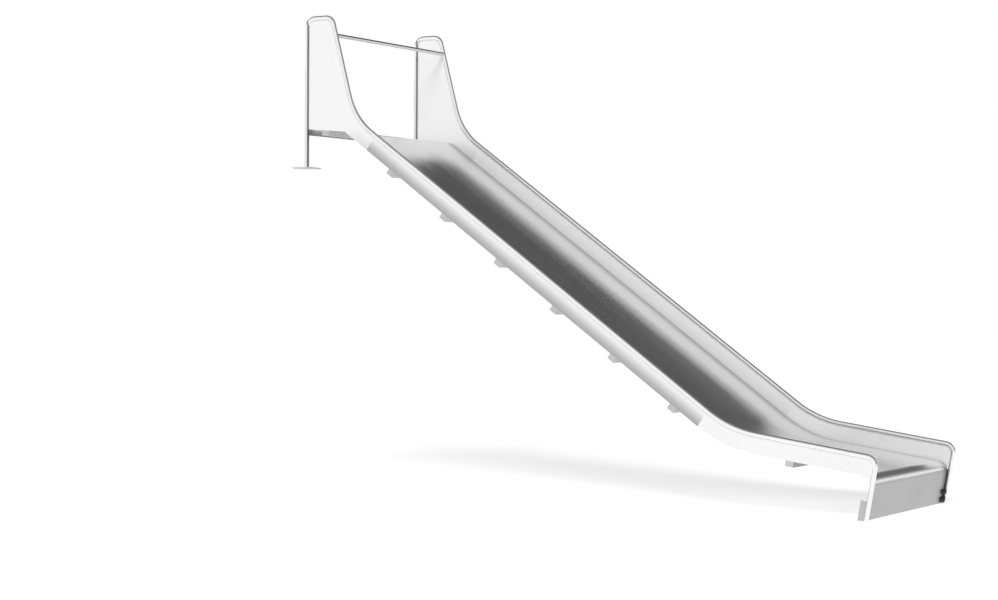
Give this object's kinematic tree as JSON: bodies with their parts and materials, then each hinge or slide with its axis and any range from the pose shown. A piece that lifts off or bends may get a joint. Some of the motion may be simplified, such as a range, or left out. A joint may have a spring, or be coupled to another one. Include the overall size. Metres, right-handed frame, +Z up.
{
  "type": "embankment slide",
  "caption": "Wide stainless chute laid on a bank, with tall side handrails and a guard bar at the start, a straight slope and a run-out with a rolled lip.",
  "frame": {"origin": "middle of the underside of the flange at the foot of the front plate", "axes": "+X downhill, +Y to the left of someone who slides down, +Z up"},
  "size_m": [4.746, 1.6936, 3.9679],
  "materials": {
    "satin_sheet": "satin sheet",
    "polished_tube": "polished tube",
    "frame_steel": "plain mill finish",
    "fastener_steel": "plain",
    "cap_plastic": "gloss black"
  },
  "bodies": {
    "root": {"right_start_rail": "polished_tube", "left_start_rail": "polished_tube", "right_slope_rail": "polished_tube", "left_slope_rail": "polished_tube", "right_runout_rail": "polished_tube", "left_runout_rail": "polished_tube", "guard_bar": "polished_tube", "right_start_panel": "satin_sheet", "left_start_panel": "satin_sheet", "right_slope_panel": "satin_sheet", "left_slope_panel": "satin_sheet", "right_runout_panel": "satin_sheet", "left_runout_panel": "satin_sheet", "start_bed": "satin_sheet", "slope_bed": "satin_sheet", "runout_bed": "satin_sheet", "platform_bearer": "frame_steel", "slope_bearer_1": "frame_steel", "slope_bearer_2": "frame_steel", "slope_bearer_3": "frame_steel", "slope_bearer_4": "frame_steel", "slope_bearer_5": "frame_steel", "slope_bearer_6": "frame_steel", "runout_bearer": "frame_steel", "bearer_end_plates": "frame_steel", "right_exit_anchor": "frame_steel", "left_exit_anchor": "frame_steel", "exit_bolts": "fastener_steel", "exit_washers": "fastener_steel", "exit_nuts": "fastener_steel", "exit_caps": "cap_plastic", "right_post_foot": "frame_steel", "left_post_foot": "frame_steel"}
  },
  "joints": []
}
